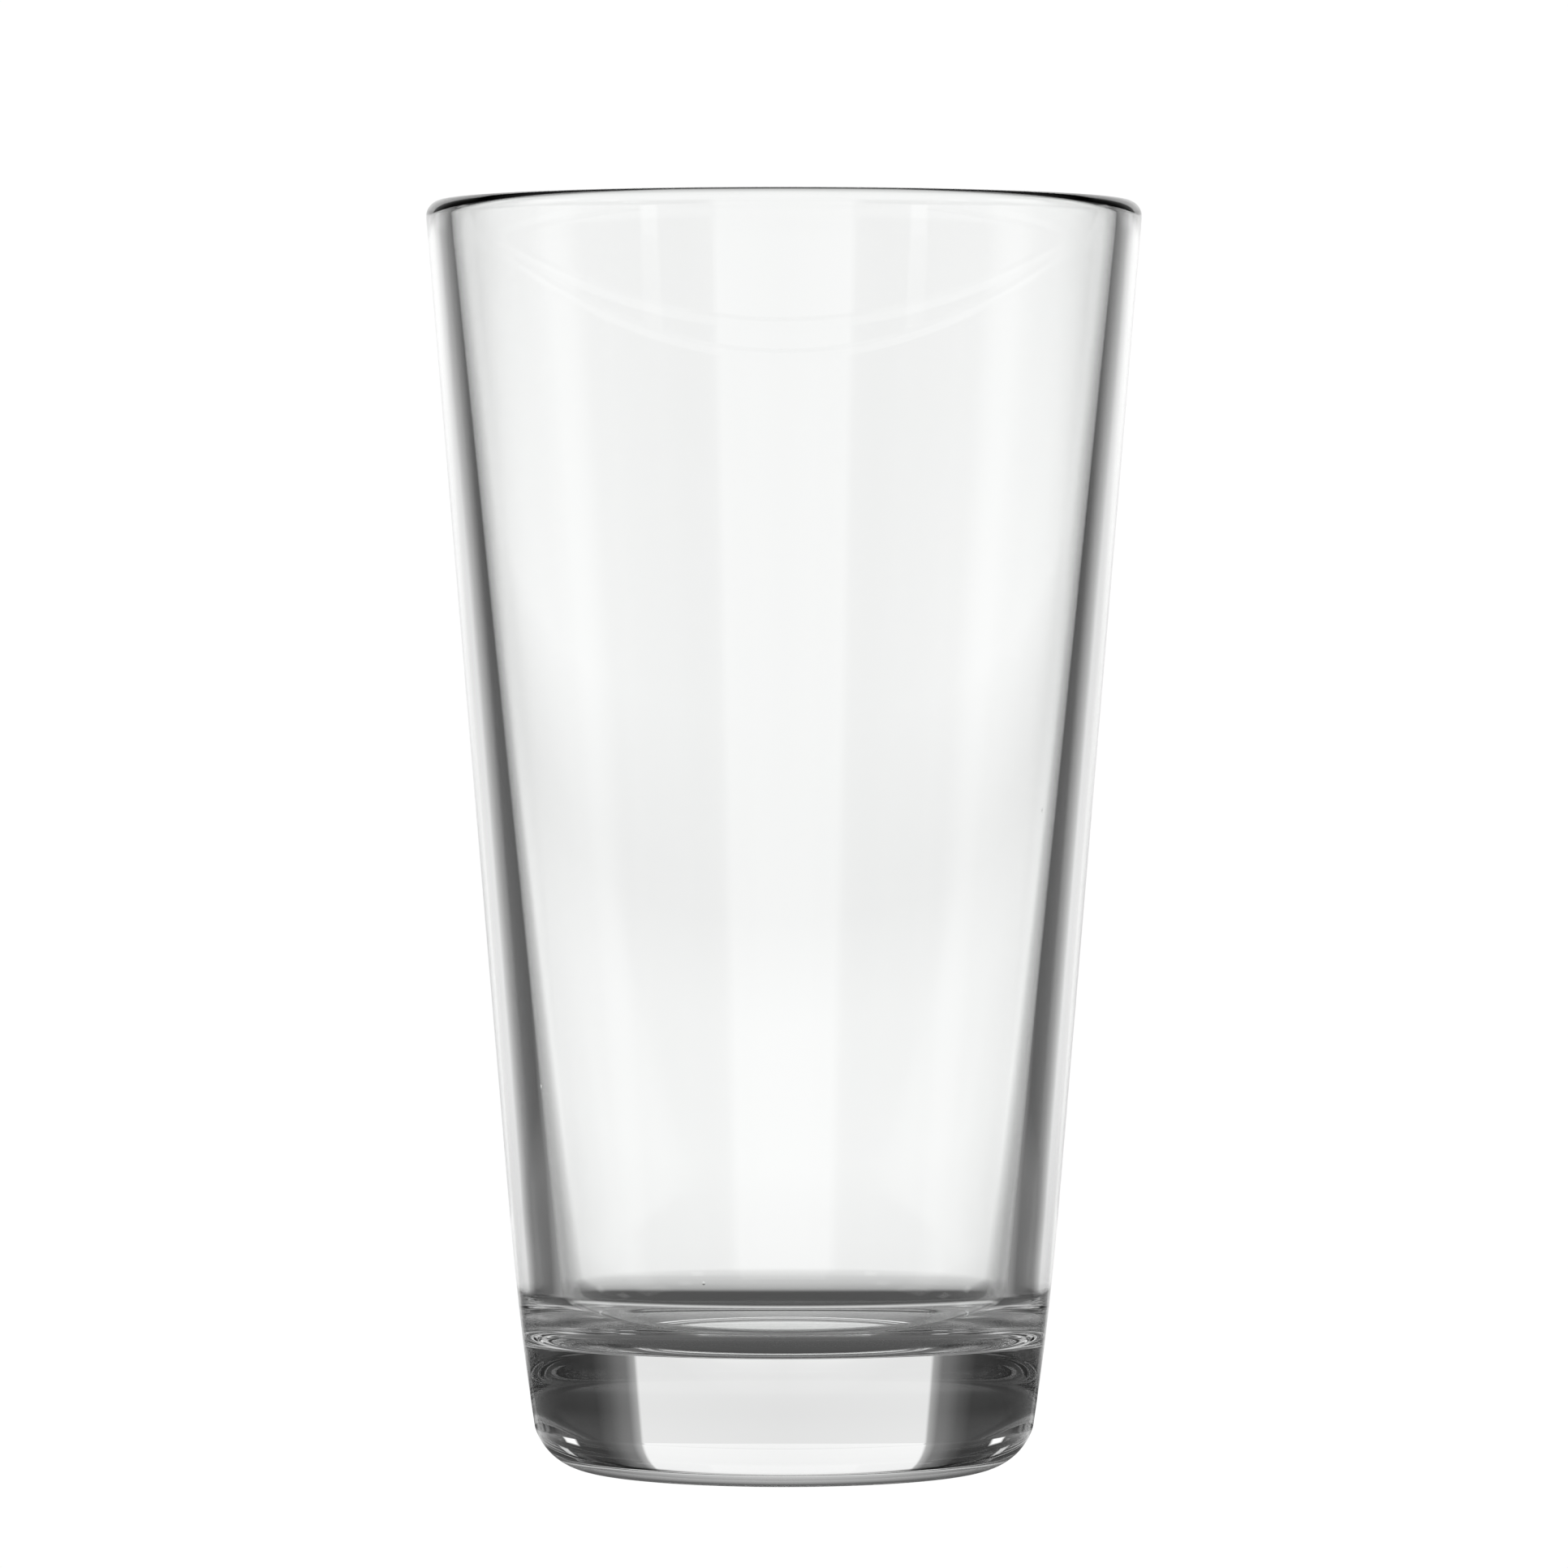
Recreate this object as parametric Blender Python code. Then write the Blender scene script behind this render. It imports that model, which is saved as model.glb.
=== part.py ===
"""Mixing glass: one thick-walled tapered tumbler, turned about the Z axis.

Units are metres, +Z is up. The origin is the centre of the circle on which the
glass stands, level with the surface under it.
"""

import math

import bmesh
import bpy

# Overall size
HEIGHT = 0.158
RIM_DIAMETER = 0.0894

# Standing ring and heel: a flat ring, then an arc that leaves it level and stops at the
# mould's parting line
RING_INNER_RADIUS = 0.0220
RING_OUTER_RADIUS = 0.0240
PUNT_DEPTH = 0.0008
HEEL_RADIUS = 0.0074
PARTING_HEIGHT = 0.0053

# Outer wall: straight from the knee to the rim, with a slow bend at the knee
KNEE_RADIUS = 0.03315
KNEE_HEIGHT = 0.019
KNEE_BLEND = 0.400

# Inner wall and floor: placed by the corner they would meet in without their fillet, past
# which the floor rises towards the axis by FLOOR_RISE for each unit of length
RIM_WALL = 0.00305
INNER_FLOOR_RADIUS = 0.0271
INNER_FLOOR_HEIGHT = 0.0152
FLOOR_BLEND = 0.0078
FLOOR_RISE = 0.130

# Fire-polished rim
RIM_OUTER_BLEND = 0.0020
RIM_INNER_BLEND = 0.0008

# Facets
SEGMENTS = 96
DOME_STEPS = 4
HEEL_STEPS = 7
KNEE_STEPS = 4
FLOOR_STEPS = 8
RIM_STEPS = 4
SMOOTH_ANGLE = math.radians(30)
MERGE_DISTANCE = 1e-6

# Clear soda-lime glass
GLASS_COLOUR = (0.97, 0.98, 0.975, 1.0)
GLASS_ROUGHNESS = 0.02
GLASS_IOR = 1.52


def clear_scene():
    """Remove every object, so that the scene holds only the part."""
    for old in list(bpy.data.objects):
        bpy.data.objects.remove(old, do_unlink=True)


def dome(radius, edge_height, rise, steps):
    """Points (r, z) of a shallow dome, from the axis out to the last one before its edge.

    The dome's height above its edge falls with the square of r, from rise on the axis.
    """
    return [(radius * i / steps, edge_height + rise * (1 - (i / steps) ** 2)) for i in range(steps)]


def heel(steps):
    """Points of the heel's arc, from straight under its centre up to the parting line."""
    centre = (RING_OUTER_RADIUS, HEEL_RADIUS)
    end = math.asin((PARTING_HEIGHT - HEEL_RADIUS) / HEEL_RADIUS)
    angles = [-math.pi / 2 + (end + math.pi / 2) * i / steps for i in range(steps + 1)]
    return [(centre[0] + HEEL_RADIUS * math.cos(a), centre[1] + HEEL_RADIUS * math.sin(a))
            for a in angles]


def rounded_corner(before, corner, after, radius, steps):
    """Points of the arc that is tangent to the two straight sides meeting at corner.

    The arc starts and ends at radius / tan(half the corner's angle) from the corner.
    """
    to_before = math.atan2(before[1] - corner[1], before[0] - corner[0])
    to_after = math.atan2(after[1] - corner[1], after[0] - corner[0])
    opening = (to_after - to_before + math.pi) % math.tau - math.pi
    half = abs(opening) / 2
    middle = to_before + opening / 2
    centre = (corner[0] + radius / math.sin(half) * math.cos(middle),
              corner[1] + radius / math.sin(half) * math.sin(middle))
    start = to_before - math.copysign(math.pi / 2, opening)
    turn = math.copysign(math.pi - 2 * half, -opening)
    return [(centre[0] + radius * math.cos(start + turn * i / steps),
             centre[1] + radius * math.sin(start + turn * i / steps))
            for i in range(steps + 1)]


def section():
    """The half section (r, z): under the base, up the outside, over the rim and down to the floor."""
    rim_radius = RIM_DIAMETER / 2
    knee = (KNEE_RADIUS, KNEE_HEIGHT)
    rim_outer = (rim_radius, HEIGHT)
    rim_inner = (rim_radius - RIM_WALL, HEIGHT)
    floor_edge = (INNER_FLOOR_RADIUS, INNER_FLOOR_HEIGHT)
    floor_aim = (0, INNER_FLOOR_HEIGHT + FLOOR_RISE * INNER_FLOOR_RADIUS)

    points = dome(RING_INNER_RADIUS, 0, PUNT_DEPTH, DOME_STEPS)
    points.append((RING_INNER_RADIUS, 0))
    points += heel(HEEL_STEPS)
    points += rounded_corner(points[-1], knee, rim_outer, KNEE_BLEND, KNEE_STEPS)
    points += rounded_corner(knee, rim_outer, rim_inner, RIM_OUTER_BLEND, RIM_STEPS)
    points += rounded_corner(rim_outer, rim_inner, floor_edge, RIM_INNER_BLEND, RIM_STEPS)
    points += rounded_corner(rim_inner, floor_edge, floor_aim, FLOOR_BLEND, FLOOR_STEPS)
    edge_radius, edge_height = points[-1]
    floor = dome(edge_radius, edge_height, FLOOR_RISE * edge_radius / 2, DOME_STEPS)
    points += reversed(floor)
    return points


def glass_material():
    """Clear colourless glass."""
    material = bpy.data.materials.new("clear_glass")
    material.use_nodes = True
    shader = material.node_tree.nodes["Principled BSDF"]
    shader.inputs["Base Color"].default_value = GLASS_COLOUR
    shader.inputs["Metallic"].default_value = 0.0
    shader.inputs["Roughness"].default_value = GLASS_ROUGHNESS
    shader.inputs["IOR"].default_value = GLASS_IOR
    shader.inputs["Transmission Weight"].default_value = 1.0
    return material


def turned(name, points, material):
    """Spin the half section once around Z, and close it on the axis."""
    shape = bmesh.new()
    corners = [shape.verts.new((r, 0, z)) for r, z in points]
    sides = [shape.edges.new(pair) for pair in zip(corners, corners[1:])]
    bmesh.ops.spin(shape, geom=corners + sides, cent=(0, 0, 0), axis=(0, 0, 1),
                   angle=math.tau, steps=SEGMENTS)
    bmesh.ops.remove_doubles(shape, verts=shape.verts, dist=MERGE_DISTANCE)
    bmesh.ops.dissolve_degenerate(shape, edges=shape.edges, dist=MERGE_DISTANCE)
    bmesh.ops.recalc_face_normals(shape, faces=shape.faces)

    mesh = bpy.data.meshes.new(name)
    shape.to_mesh(mesh)
    shape.free()
    mesh.shade_smooth()
    mesh.set_sharp_from_angle(angle=SMOOTH_ANGLE)
    mesh.materials.append(material)
    piece = bpy.data.objects.new(name, mesh)
    bpy.context.scene.collection.objects.link(piece)
    return piece


clear_scene()
turned("glass_body", section(), glass_material())
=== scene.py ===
import math

import bpy
import numpy as np
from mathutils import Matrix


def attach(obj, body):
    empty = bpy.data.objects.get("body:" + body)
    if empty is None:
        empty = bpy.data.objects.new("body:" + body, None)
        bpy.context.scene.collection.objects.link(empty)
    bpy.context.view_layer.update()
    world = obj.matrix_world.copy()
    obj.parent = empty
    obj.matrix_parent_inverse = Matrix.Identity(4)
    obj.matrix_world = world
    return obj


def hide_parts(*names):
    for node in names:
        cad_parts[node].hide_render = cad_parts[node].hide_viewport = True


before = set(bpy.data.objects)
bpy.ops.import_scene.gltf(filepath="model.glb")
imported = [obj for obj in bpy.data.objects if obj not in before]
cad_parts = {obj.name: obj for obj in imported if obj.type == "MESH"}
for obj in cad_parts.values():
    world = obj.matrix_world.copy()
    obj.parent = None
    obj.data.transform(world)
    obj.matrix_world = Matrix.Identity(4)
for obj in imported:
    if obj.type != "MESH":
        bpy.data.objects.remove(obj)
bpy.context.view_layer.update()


# Camera
# A long lens in front of the glass, a little above half its height and tilted slightly down, so that the
# rim shows as a thin arch from below and the base as a shallow curve from above.
CAMERA_DISTANCE = 1.154
CAMERA_HEIGHT = 0.112
AIM_HEIGHT = 0.0854
FOCAL_LENGTH = 212.6
SENSOR_WIDTH = 36.0
BOUNCES = 24

camera = bpy.data.objects.new("camera", bpy.data.cameras.new("camera"))
bpy.context.scene.collection.objects.link(camera)
camera.data.sensor_width = SENSOR_WIDTH
camera.data.dof.use_dof = False
camera.data.lens = FOCAL_LENGTH
camera.location = (0.0, -CAMERA_DISTANCE, CAMERA_HEIGHT)
drop = math.atan((CAMERA_HEIGHT - AIM_HEIGHT) / CAMERA_DISTANCE)
camera.rotation_euler = (math.radians(90) - drop, 0.0, 0.0)
bpy.context.scene.camera = camera
bpy.context.scene.view_settings.view_transform = "Standard"
bpy.context.scene.cycles.max_bounces = BOUNCES
bpy.context.scene.cycles.transmission_bounces = BOUNCES
bpy.context.scene.cycles.glossy_bounces = BOUNCES


# Studio
# A white room of paper and cloth: a bright strip of backdrop at the horizon, tall white panels behind and
# in front of the glass, dark flags beside them, a dim ceiling, and small lamps that spark in the heel.
# It looks plain white when seen straight; the glass alone shows its bright and dark parts.
def add(tree, kind, *values, **settings):
    """A node of a kind: sets each named setting, then joins or writes the values to its inputs in order."""
    node = tree.nodes.new(kind)
    for name, value in settings.items():
        setattr(node, name, value)
    for socket, value in zip(node.inputs, values):
        if isinstance(value, bpy.types.NodeSocket):
            tree.links.new(value, socket)
        elif value is not None:
            socket.default_value = value
    return node


def maths(tree, operation, *values):
    """The result socket of one Math node: operation (value, value)."""
    return add(tree, "ShaderNodeMath", *values, operation=operation).outputs[0]


def blend(tree, share, first, second):
    """The result socket of first (1 - share) + second share, for numbers or sockets."""
    node = add(tree, "ShaderNodeMix", share, data_type="FLOAT")
    for socket, value in ((node.inputs[2], first), (node.inputs[3], second)):
        if isinstance(value, bpy.types.NodeSocket):
            tree.links.new(value, socket)
        else:
            socket.default_value = value
    return node.outputs[0]


def steps(tree, value, points):
    """The result socket of a curve through (input, output) points, straight between and level beyond."""
    low, high = points[0][0], points[-1][0]
    place = add(tree, "ShaderNodeMapRange", value, low, high, 0.0, 1.0).outputs[0]
    ramp = add(tree, "ShaderNodeValToRGB", place)
    stops = ramp.color_ramp.elements
    stops[0].position, stops[1].position = 0.0, 1.0
    for at, _ in points[1:-1]:
        stops.new((at - low) / (high - low))
    for stop, (_, out) in zip(stops, points):
        stop.color = (out, out, out, 1.0)
    return ramp.outputs["Color"]


def side_angle(tree, x, y):
    """Degrees from +Y to a level direction (x, y), either way round: the arc tangent of |x| over y."""
    return maths(tree, "DEGREES", maths(tree, "ARCTAN2", maths(tree, "ABSOLUTE", x), y))


# Brightness by degrees round from +Y: at the horizon, and for the panels. By degrees up: the share of the
# panels that is lit, the ceiling, and where the horizon's strip gives way to the panels.
HORIZON = [(0, 0.78), (8, 0.87), (14, 0.93), (18, 0.90), (22, 0.72), (24, 0.60), (27, 0.38), (30, 0.27),
           (34, 0.18), (40, 0.10), (60, 0.10), (75, 0.30), (90, 0.45), (110, 0.78), (180, 0.78)]
HORIZON_GAIN = 1.2
PANEL = [(0, 0.96), (24.4, 1.0), (25, 0.46), (27, 0.20), (29, 0.17), (32, 0.09), (36, 0.03), (45, 0.02),
         (78, 0.02), (84, 0.5), (90, 0.6)]
PANEL_FOOT = [(-90, 0.84), (5, 0.84), (7, 1.0), (28, 1.0), (31, 0.0), (90, 0.0)]
CEILING = [(-90, 0.0), (33, 0.0), (48, 0.12), (90, 0.15)]
STRIP_END = [(0, 0), (2.3, 0), (2.9, 1), (90, 1)]
# Lamps: degrees round, degrees up, half width, half height, brightness
LAMPS = ((50, 15, 4, 4, 1.2), (62, 29, 5, 4, 0.9), (84, 33, 8, 6, 0.8))
LAMP_EDGE = [(0, 1), (0.6, 1), (1, 0)]
WHITE = (1.0, 1.0, 1.0, 1.0)
SEEN_WHITE = 1.02

world = bpy.data.worlds.new("studio")
bpy.context.scene.world = world
world.use_nodes = True
tree = world.node_tree
tree.nodes.clear()
ray = add(tree, "ShaderNodeTexCoord").outputs["Generated"]
x, y, z = add(tree, "ShaderNodeSeparateXYZ", ray).outputs
turn = side_angle(tree, x, y)
across = side_angle(tree, x, maths(tree, "ABSOLUTE", y))
rise = maths(tree, "DEGREES", maths(tree, "ARCSINE", z))
horizon = maths(tree, "MULTIPLY", steps(tree, turn, HORIZON), HORIZON_GAIN)
panel = maths(tree, "MULTIPLY", steps(tree, across, PANEL), steps(tree, rise, PANEL_FOOT))
panel = maths(tree, "MAXIMUM", panel, steps(tree, rise, CEILING))
light = blend(tree, steps(tree, rise, STRIP_END), horizon, panel)
for angle, height, width, depth, level in LAMPS:
    beside = maths(tree, "ABSOLUTE", maths(tree, "SUBTRACT", across, angle))
    above = maths(tree, "ABSOLUTE", maths(tree, "SUBTRACT", rise, height))
    beside, above = maths(tree, "DIVIDE", beside, width), maths(tree, "DIVIDE", above, depth)
    lamp = steps(tree, maths(tree, "MAXIMUM", beside, above), LAMP_EDGE)
    light = maths(tree, "ADD", light, maths(tree, "MULTIPLY", lamp, level))
seen = add(tree, "ShaderNodeLightPath").outputs["Is Camera Ray"]
back = add(tree, "ShaderNodeBackground", WHITE, blend(tree, seen, light, SEEN_WHITE))
add(tree, "ShaderNodeOutputWorld", back.outputs[0])


# Floor
# A plain pale table, level with the ring the glass stands on. It shines as evenly as the backdrop when seen
# straight. Where the glass looks at it, it carries painted light: a painted shadow under and round the glass,
# a painted caustic ring of light round the base, and painted dark wedges to the sides.
FLOOR_REACH = 40.0
FLOOR_DROP = 0.0001
# Painted light by metres from the glass, behind it and round its front: a painted shadow under the base, a
# painted caustic ring of light just outside it, and a painted dark band beyond
PAINTED_RINGS_BEHIND = [(0.0, 0.05), (0.024, 0.11), (0.034, 0.13), (0.0365, 0.20), (0.0385, 0.72), (0.041, 0.86),
        (0.045, 0.66), (0.049, 0.28), (0.054, 0.05), (0.093, 0.04), (0.103, 0.40), (0.126, 0.57),
        (0.20, 0.76), (0.28, 0.95), (0.45, 1.0), (0.80, 0.99), (1.2, 0.93)]
PAINTED_RINGS_FRONT = [(0.0, 0.05), (0.024, 0.08), (0.034, 0.15), (0.0385, 0.50), (0.046, 0.45), (0.055, 0.20),
          (0.10, 0.35), (0.16, 0.90), (1.2, 0.95)]
# Painted shade in dark wedges to the sides: the share kept by degrees round from +Y, past the start distance,
# and how much of the dark wedges is lifted, by metres
PAINTED_WEDGES = [(0, 1.0), (24, 1.0), (27, 0.65), (30, 0.45), (34, 0.25), (40, 0.08), (52, 0.06), (62, 0.40),
         (72, 0.85), (90, 1.0)]
PAINTED_WEDGES_START = (0.085, 0.10)
LIFT = [(0, 0), (0.115, 0), (0.14, 1), (0.24, 1), (0.34, 0), (1, 0)]
LIFT_LEVEL = 0.15
# Degrees round at which the front's curve takes over, and metres at which the horizon's does
FRONT = [(0, 0), (84, 0), (105, 1), (180, 1)]
FAR = (1.4, 2.6)

floor_mesh = bpy.data.meshes.new("floor")
corners = [(a * FLOOR_REACH, b * FLOOR_REACH, -FLOOR_DROP) for a, b in ((-1, -1), (1, -1), (1, 1), (-1, 1))]
floor_mesh.from_pydata(corners, [], [(0, 1, 2, 3)])
floor = bpy.data.objects.new("floor", floor_mesh)
bpy.context.scene.collection.objects.link(floor)
material = bpy.data.materials.new("pale_floor")
material.use_nodes = True
tree = material.node_tree
tree.nodes.clear()
spot = add(tree, "ShaderNodeTexCoord").outputs["Object"]
x, y, z = add(tree, "ShaderNodeSeparateXYZ", spot).outputs
turn = side_angle(tree, x, y)
squares = maths(tree, "MULTIPLY", x, x), maths(tree, "MULTIPLY", y, y)
reach = maths(tree, "SQRT", maths(tree, "ADD", *squares))
lift = maths(tree, "MULTIPLY", steps(tree, reach, LIFT), LIFT_LEVEL)
# Painted shade: dark wedges to the sides of the glass, lifted a little at mid distance
painted_wedge = maths(tree, "MAXIMUM", steps(tree, turn, PAINTED_WEDGES), lift)
beyond = add(tree, "ShaderNodeMapRange", reach, *PAINTED_WEDGES_START, 0.0, 1.0).outputs[0]
# Painted shadow under the glass and painted caustic ring round it, by distance, then darkened further out by
# the painted wedges
painted_rings = blend(tree, steps(tree, turn, FRONT), steps(tree, reach, PAINTED_RINGS_BEHIND), steps(tree, reach, PAINTED_RINGS_FRONT))
painted_rings = maths(tree, "MULTIPLY", painted_rings, blend(tree, beyond, 1.0, painted_wedge))
horizon = maths(tree, "MULTIPLY", steps(tree, turn, HORIZON), HORIZON_GAIN)
far = add(tree, "ShaderNodeMapRange", reach, *FAR, 0.0, 1.0).outputs[0]
light = blend(tree, far, painted_rings, horizon)
seen = add(tree, "ShaderNodeLightPath").outputs["Is Camera Ray"]
glow = add(tree, "ShaderNodeEmission", WHITE, blend(tree, seen, light, SEEN_WHITE))
add(tree, "ShaderNodeOutputMaterial", glow.outputs[0])
floor_mesh.materials.append(material)


# Glass
# One tumbler of clear soda-lime glass, pressed in a two-part mould and polished by flame: a thick solid
# base that stands on a narrow ring, a heel that ends at the mould's parting line, and a tapered wall.
HEIGHT = 0.158
RIM_RADIUS = 0.0447
RIM_WALL = 0.00305
RIM_OUTER_BLEND = 0.0020
RIM_INNER_BLEND = 0.0008
KNEE_RADIUS = 0.03315
KNEE_HEIGHT = 0.019
KNEE_BLEND = 0.400
RING_INNER_RADIUS = 0.0220
RING_OUTER_RADIUS = 0.0240
PUNT_DEPTH = 0.0008
HEEL_RADIUS = 0.0074
PARTING_HEIGHT = 0.0053
FLOOR_RADIUS = 0.0271
FLOOR_HEIGHT = 0.0152
FLOOR_BLEND = 0.0078
FLOOR_RISE = 0.130
SEGMENTS = 320
TINT_DEEP = (0.984, 0.991, 0.986, 1.0)
TINT_LIGHT = (0.997, 1.0, 0.998, 1.0)
TINT_SCALE = 30.0
SCUFF_SCALE = 2600.0
SCUFF_HEIGHT = 0.0004
SCUFF_ROUGHNESS = 0.5
RIM_DEPTH = 0.0015
RIM_ROUGHNESS = 0.04
MARK_SCALE = 45.0
MARK_ROUGHNESS = 0.02
MARKS = [(0.0, 0.0), (0.62, 0.0), (0.8, 1.0), (1.0, 1.0)]
RIPPLE_SCALE = 60.0
RIPPLE_HEIGHT = 0.000004
SEED_SCALE = 220.0
SEED_SHARE = 0.04
SEED_HEIGHT = 0.000008
SEED_SHAPE = [(0.0, 1.0), (0.03, 0.8), (0.06, 0.0), (1.0, 0.0)]
GLASS_IOR = 1.52


def rounded_corner(before, corner, after, radius, count):
    """The arc that touches both sides of a corner, each at radius / tan(half the corner's angle) from it."""
    before, corner, after = (np.array(p) for p in (before, corner, after))
    back, ahead = before - corner, after - corner
    back, ahead = back / np.linalg.norm(back), ahead / np.linalg.norm(ahead)
    half = math.acos(float(back @ ahead)) / 2
    centre = corner + (back + ahead) / np.linalg.norm(back + ahead) * radius / math.sin(half)
    start = corner + back * radius / math.tan(half) - centre
    turn = math.copysign(math.pi - 2 * half, back[1] * ahead[0] - back[0] * ahead[1])
    angle = np.linspace(0, turn, count)[:, None]
    side = np.array([-start[1], start[0]])
    return centre + start * np.cos(angle) + side * np.sin(angle)


def straight(start, end, count):
    """Points start + (end - start) share, for evenly spaced shares between 0 and 1."""
    share = np.linspace(0, 1, count + 2)[1:-1, None]
    return start + (end - start) * share


def dome(radius, edge_height, rise, count):
    """Points from the axis out: the height over the edge is rise (1 - (r / radius) squared)."""
    share = np.linspace(0, 1, count)
    return np.stack([radius * share, edge_height + rise * (1 - share ** 2)], 1)


# The half section (r, z), from the middle of the base round the outside to the middle of the inner floor
knee = (KNEE_RADIUS, KNEE_HEIGHT)
rim_out = (RIM_RADIUS, HEIGHT)
rim_in = (RIM_RADIUS - RIM_WALL, HEIGHT)
floor_edge = (FLOOR_RADIUS, FLOOR_HEIGHT)
floor_aim = (0.0, FLOOR_HEIGHT + FLOOR_RISE * FLOOR_RADIUS)
under = dome(RING_INNER_RADIUS, 0.0, PUNT_DEPTH, 20)
heel_end = math.asin((PARTING_HEIGHT - HEEL_RADIUS) / HEEL_RADIUS)
angle = np.linspace(-math.pi / 2, heel_end, 40)
heel = (RING_OUTER_RADIUS, HEEL_RADIUS) + HEEL_RADIUS * np.stack([np.cos(angle), np.sin(angle)], 1)
knee_arc = rounded_corner(heel[-1], knee, rim_out, KNEE_BLEND, 16)
rim_out_arc = rounded_corner(knee, rim_out, rim_in, RIM_OUTER_BLEND, 14)
rim_in_arc = rounded_corner(rim_out, rim_in, floor_edge, RIM_INNER_BLEND, 14)
floor_arc = rounded_corner(rim_in, floor_edge, floor_aim, FLOOR_BLEND, 44)
edge_radius, edge_height = floor_arc[-1]
floor_dome = dome(edge_radius, edge_height, FLOOR_RISE * edge_radius / 2, 14)[::-1]
section = np.concatenate([
    under, straight(under[-1], heel[0], 3),
    heel, straight(heel[-1], knee_arc[0], 8),
    knee_arc, straight(knee_arc[-1], rim_out_arc[0], 40),
    rim_out_arc, straight(rim_out_arc[-1], rim_in_arc[0], 3),
    rim_in_arc, straight(rim_in_arc[-1], floor_arc[0], 40),
    floor_arc, floor_dome[1:]])


def turned_mesh(name, section, segments):
    """The section turned about Z: point (i, j) lies at r_i cos a_j, r_i sin a_j, z_i; fans close the ends."""
    r, z = section[1:-1].T
    angle = np.arange(segments) * (math.tau / segments)
    rings = np.stack([np.outer(r, np.cos(angle)), np.outer(r, np.sin(angle)),
                      np.broadcast_to(z[:, None], (len(z), segments))], -1).reshape(-1, 3)
    points = np.concatenate([rings, [[0, 0, section[0, 1]], [0, 0, section[-1, 1]]]])
    low, high = len(rings), len(rings) + 1
    i = np.arange(len(r) - 1)[:, None] * segments
    j = np.arange(segments)[None, :]
    k = (j + 1) % segments
    quads = np.stack([i + j, i + k, i + segments + k, i + segments + j], -1).reshape(-1, 4)
    j, k = j[0], k[0]
    last = (len(r) - 1) * segments
    fans = [(low, b, a) for a, b in zip(j, k)] + [(high, last + a, last + b) for a, b in zip(j, k)]
    faces = quads.tolist() + [tuple(int(v) for v in fan) for fan in fans]
    mesh = bpy.data.meshes.new(name)
    mesh.from_pydata(points.tolist(), [], faces)
    mesh.validate()
    mesh.shade_smooth()
    return mesh


mesh = turned_mesh("mixing_glass", section, SEGMENTS)
glass = bpy.data.objects.new("mixing_glass", mesh)
bpy.context.scene.collection.objects.link(glass)


def shared_group(name, output, kind):
    """A new node group with output = f(Vector): the group, its Vector socket and its result's socket."""
    group = bpy.data.node_groups.new(name, "ShaderNodeTree")
    group.interface.new_socket(name="Vector", in_out="INPUT", socket_type="NodeSocketVector")
    group.interface.new_socket(name=output, in_out="OUTPUT", socket_type=kind)
    place = group.nodes.new("NodeGroupInput").outputs["Vector"]
    return group, place, group.nodes.new("NodeGroupOutput").inputs[output]


def noise(tree, place, scale, detail):
    """The result socket of a noise of about 1 / scale metres, in detail octaves."""
    node = add(tree, "ShaderNodeTexNoise", place)
    node.inputs["Scale"].default_value = scale
    node.inputs["Detail"].default_value = detail
    return node.outputs["Fac"]


# The melt's faint green, uneven by a hundredth over a few centimetres
tint, place, result = shared_group("glass_tint", "Color", "NodeSocketColor")
shade = add(tint, "ShaderNodeMix", noise(tint, place, TINT_SCALE, 3.0), data_type="RGBA")
for socket, value in ((shade.inputs[6], TINT_DEEP), (shade.inputs[7], TINT_LIGHT)):
    socket.default_value = value
tint.links.new(shade.outputs[2], result)

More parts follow.
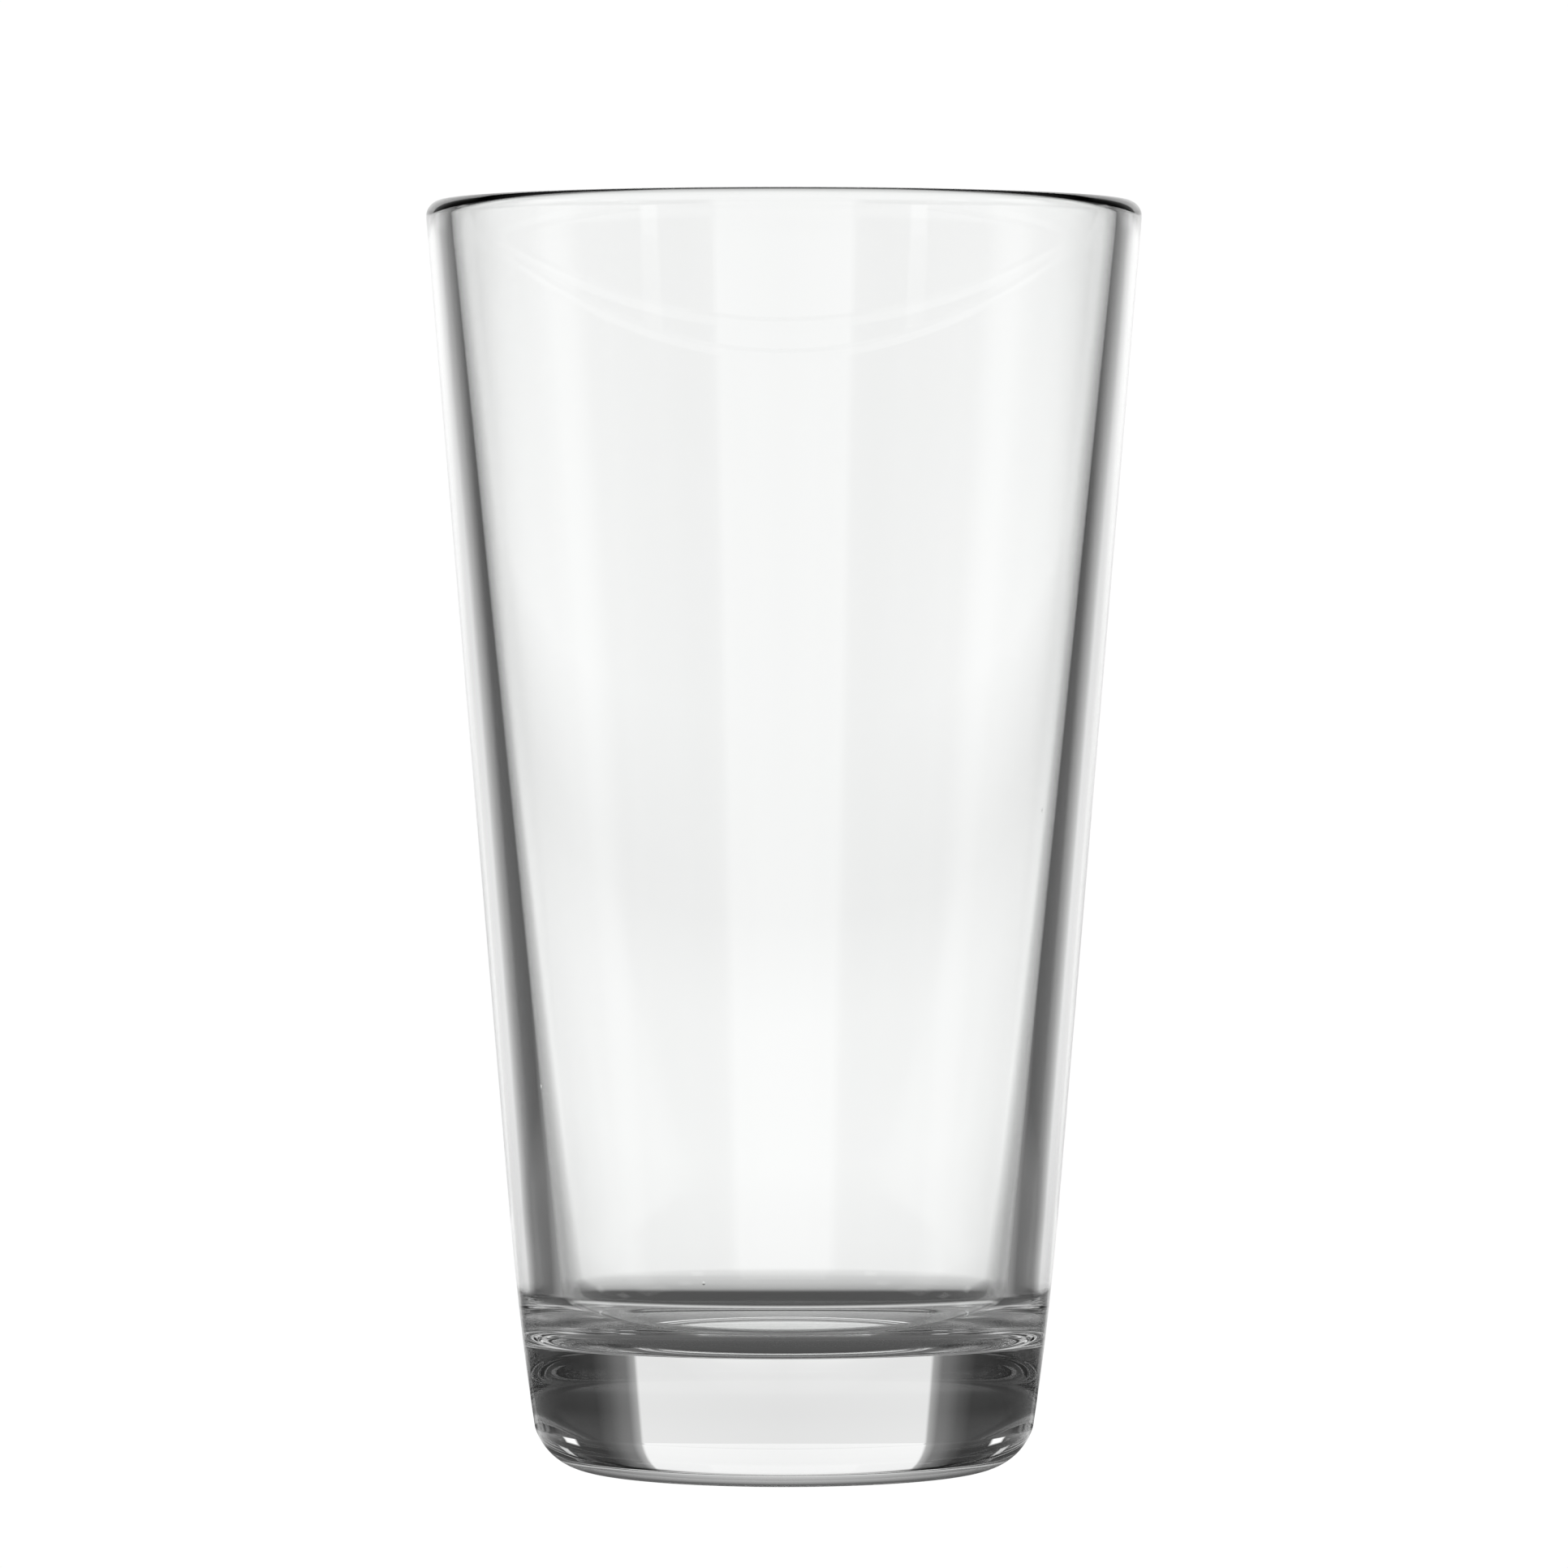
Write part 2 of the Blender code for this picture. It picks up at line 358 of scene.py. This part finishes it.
# Wear: scuffs on the ring that slides on counters, a little dulling at the rim, and faint handling marks
wear, place, result = shared_group("glass_wear", "Roughness", "NodeSocketFloat")
height = add(wear, "ShaderNodeSeparateXYZ", place).outputs["Z"]
at_ring = steps(wear, height, [(-0.001, 1.0), (SCUFF_HEIGHT / 2, 1.0), (SCUFF_HEIGHT, 0.0), (0.01, 0.0)])
at_rim = steps(wear, height, [(0.0, 0.0), (HEIGHT - RIM_DEPTH, 0.0), (HEIGHT, 1.0), (HEIGHT + 0.001, 1.0)])
scratch = noise(wear, place, SCUFF_SCALE, 4.0)
smudge = noise(wear, place, MARK_SCALE, 5.0)
scuffs = maths(wear, "MULTIPLY", at_ring, maths(wear, "MULTIPLY", scratch, SCUFF_ROUGHNESS))
dulled = maths(wear, "MULTIPLY", at_rim, maths(wear, "MULTIPLY", smudge, RIM_ROUGHNESS))
marks = maths(wear, "MULTIPLY", steps(wear, smudge, MARKS), MARK_ROUGHNESS)
wear.links.new(maths(wear, "ADD", maths(wear, "ADD", scuffs, dulled), marks), result)

# Relief: the slow ripple that pressing leaves, and a few seeds, bubbles a quarter of a millimetre wide
relief, place, result = shared_group("glass_relief", "Height", "NodeSocketFloat")
wave = maths(relief, "MULTIPLY", noise(relief, place, RIPPLE_SCALE, 1.0), RIPPLE_HEIGHT)
cells = add(relief, "ShaderNodeTexVoronoi", place)
cells.inputs["Scale"].default_value = SEED_SCALE
chosen = add(relief, "ShaderNodeSeparateColor", cells.outputs["Color"]).outputs[0]
chosen = maths(relief, "GREATER_THAN", chosen, 1.0 - SEED_SHARE)
bubble = steps(relief, cells.outputs["Distance"], SEED_SHAPE)
seeds = maths(relief, "MULTIPLY", maths(relief, "MULTIPLY", bubble, chosen), SEED_HEIGHT)
relief.links.new(maths(relief, "ADD", wave, seeds), result)

material = bpy.data.materials.new("clear_glass")
material.use_nodes = True
tree = material.node_tree
shader = tree.nodes["Principled BSDF"]
place = add(tree, "ShaderNodeTexCoord").outputs["Object"]
bump = tree.nodes.new("ShaderNodeBump")
bump.inputs["Strength"].default_value = 1.0
bump.inputs["Distance"].default_value = 1.0
for group, socket in ((tint, shader.inputs["Base Color"]), (wear, shader.inputs["Roughness"]),
                      (relief, bump.inputs["Height"])):
    tree.links.new(add(tree, "ShaderNodeGroup", place, node_tree=group).outputs[0], socket)
tree.links.new(bump.outputs["Normal"], shader.inputs["Normal"])
shader.inputs["Metallic"].default_value = 0.0
shader.inputs["IOR"].default_value = GLASS_IOR
shader.inputs["Transmission Weight"].default_value = 1.0
mesh.materials.append(material)
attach(glass, "root")
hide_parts("glass_body")
